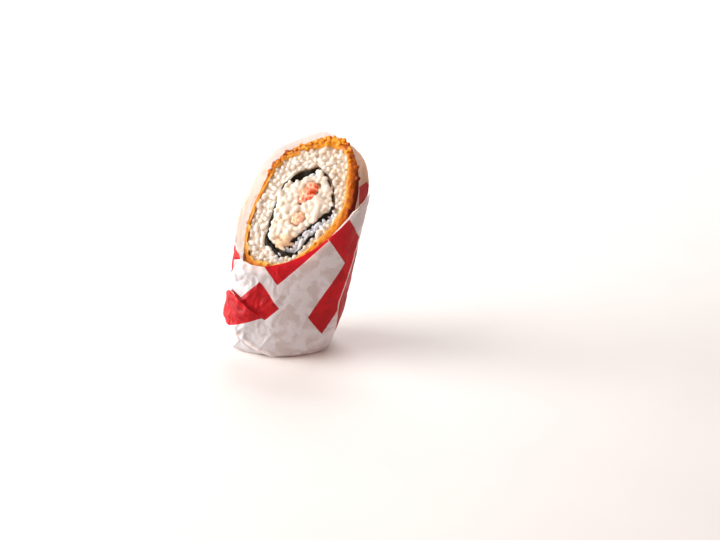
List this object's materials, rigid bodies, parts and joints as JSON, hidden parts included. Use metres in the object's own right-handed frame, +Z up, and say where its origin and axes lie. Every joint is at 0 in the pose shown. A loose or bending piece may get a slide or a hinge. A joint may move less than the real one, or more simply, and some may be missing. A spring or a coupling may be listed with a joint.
{
  "type": "sushi burrito",
  "caption": "Half of a battered sushi burrito cut on the slant, rice and nori round a creamy crab filling, standing in its waxed paper wrap.",
  "frame": {"origin": "centre of the flat folded base of the paper, on the surface that the roll stands on", "axes": "+Z up along the roll towards the high side of the cut; the cut face looks up and towards -Y; the roll leans a little to +X"},
  "size_m": [0.0846, 0.0612, 0.1225],
  "materials": {
    "waxed_paper": "white waxed paper with red bars",
    "fried_batter": "golden fried batter, slightly oily",
    "rice": "moist cooked rice",
    "nori": "damp dried seaweed",
    "cream_salad": "creamy shredded salad",
    "crab": "crab stick, pink orange"
  },
  "bodies": {
    "root": {"paper_wrap": "waxed_paper", "batter_coat": "fried_batter", "rice": "rice", "nori": "nori", "cream_salad": "cream_salad", "crab_piece_a": "crab", "crab_piece_b": "crab"}
  },
  "joints": []
}
